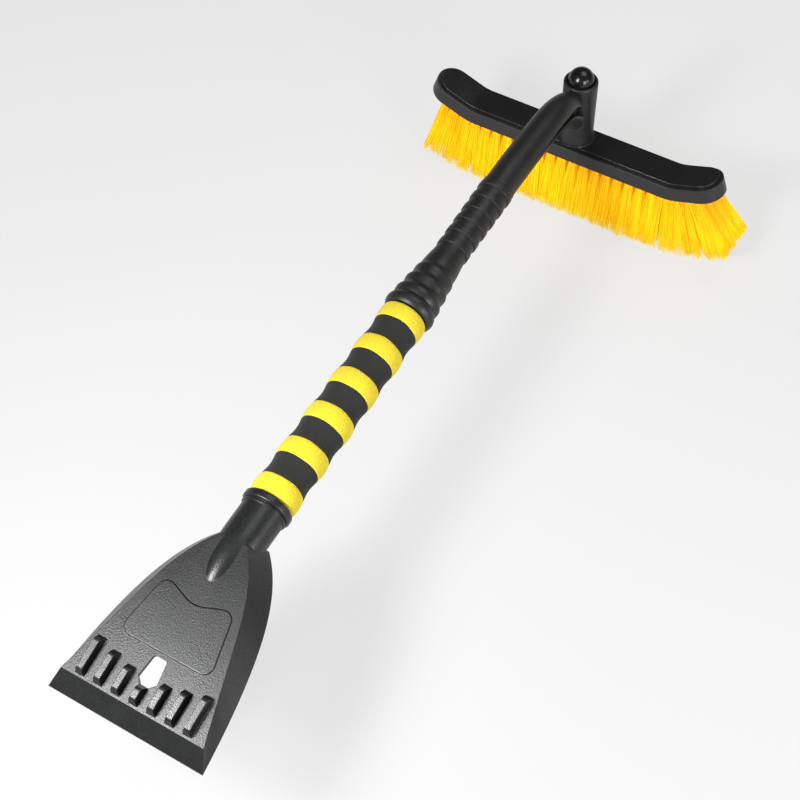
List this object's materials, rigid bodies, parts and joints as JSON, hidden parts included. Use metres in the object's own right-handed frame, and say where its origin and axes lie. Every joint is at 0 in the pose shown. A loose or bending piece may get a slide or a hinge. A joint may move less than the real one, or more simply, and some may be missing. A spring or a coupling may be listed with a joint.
{
  "type": "windshield ice scraper with snow brush",
  "caption": "Two-in-one car snow tool: a toothed ice scraper on a foam-gripped tube, with a plug-on brush half whose head swivels under a push-button lock.",
  "frame": {"origin": "middle of the foam grip, on the tube's axis", "axes": "+X along the tube from the scraper blade towards the brush; +Z out of the side with the ice-breaker teeth and the push button; +Y completes the right-handed frame, along the blade and the brush head"},
  "size_m": [0.6238, 0.2825, 0.1534],
  "materials": {
    "scraper_plastic": "fine-grained satin black, moulded",
    "tube_coating": "black powder coat over aluminium",
    "handle_plastic": "satin black, moulded",
    "button_plastic": "polished black",
    "head_plastic": "fine matt black, moulded",
    "cover_plastic": "smooth semi-gloss black",
    "inner_plastic": "unfinished black nylon",
    "foam_yellow": "fine closed-cell foam",
    "foam_charcoal": "fine closed-cell foam",
    "bristle_yellow": "flagged synthetic filament",
    "steel": "zinc-plated"
  },
  "bodies": {
    "scraper": {"scraper_head": "scraper_plastic", "handle_tube": "tube_coating", "head_screw": "steel", "tube_plug": "inner_plastic", "snap_spring": "steel", "grip_yellow_1": "foam_yellow", "grip_yellow_2": "foam_yellow", "grip_yellow_3": "foam_yellow", "grip_yellow_4": "foam_yellow", "grip_yellow_5": "foam_yellow", "grip_yellow_6": "foam_yellow", "grip_black_1": "foam_charcoal", "grip_black_2": "foam_charcoal", "grip_black_3": "foam_charcoal", "grip_black_4": "foam_charcoal", "grip_black_5": "foam_charcoal"},
    "snap_button": {"snap_button": "steel"},
    "brush_handle": {"brush_handle": "handle_plastic"},
    "push_button": {"push_button": "button_plastic"},
    "brush_head": {"brush_back": "head_plastic", "brush_cover": "cover_plastic", "hex_spindle": "inner_plastic", "pivot_screw": "steel", "lock_spring": "steel", "bristle_row_1": "bristle_yellow", "bristle_row_2": "bristle_yellow", "bristle_row_3": "bristle_yellow", "bristle_row_4": "bristle_yellow"},
    "lock_gear": {"lock_gear": "inner_plastic"}
  },
  "joints": [
    {"name": "handle_pull", "type": "slide", "parent": "scraper", "child": "brush_handle", "axis": [1, 0, 0], "range_m": [0, 0.05]},
    {"name": "snap_press", "type": "slide", "parent": "scraper", "child": "snap_button", "axis": [0, 0, -1], "range_m": [0, 0.0024], "stiffness_N_per_m": 600, "springref_m": -0.001, "deforming": ["snap_spring"]},
    {"name": "button_press", "type": "slide", "parent": "brush_handle", "child": "push_button", "axis": [-0.0906, 0, -0.9959], "range_m": [0, 0.005], "stiffness_N_per_m": 800, "springref_m": -0.002},
    {"name": "head_swivel", "type": "hinge", "parent": "brush_handle", "child": "brush_head", "pos_m": [0.35425, 0, -0.0078], "axis": [0.0906, 0, 0.9959], "continuous": true},
    {"name": "gear_slide", "type": "slide", "parent": "brush_head", "child": "lock_gear", "axis": [-0.0906, 0, -0.9959], "range_m": [0, 0.005], "deforming": ["lock_spring"]}
  ],
  "couplings": [
    {"joint": "gear_slide", "follows": "button_press", "ratio": 1}
  ]
}
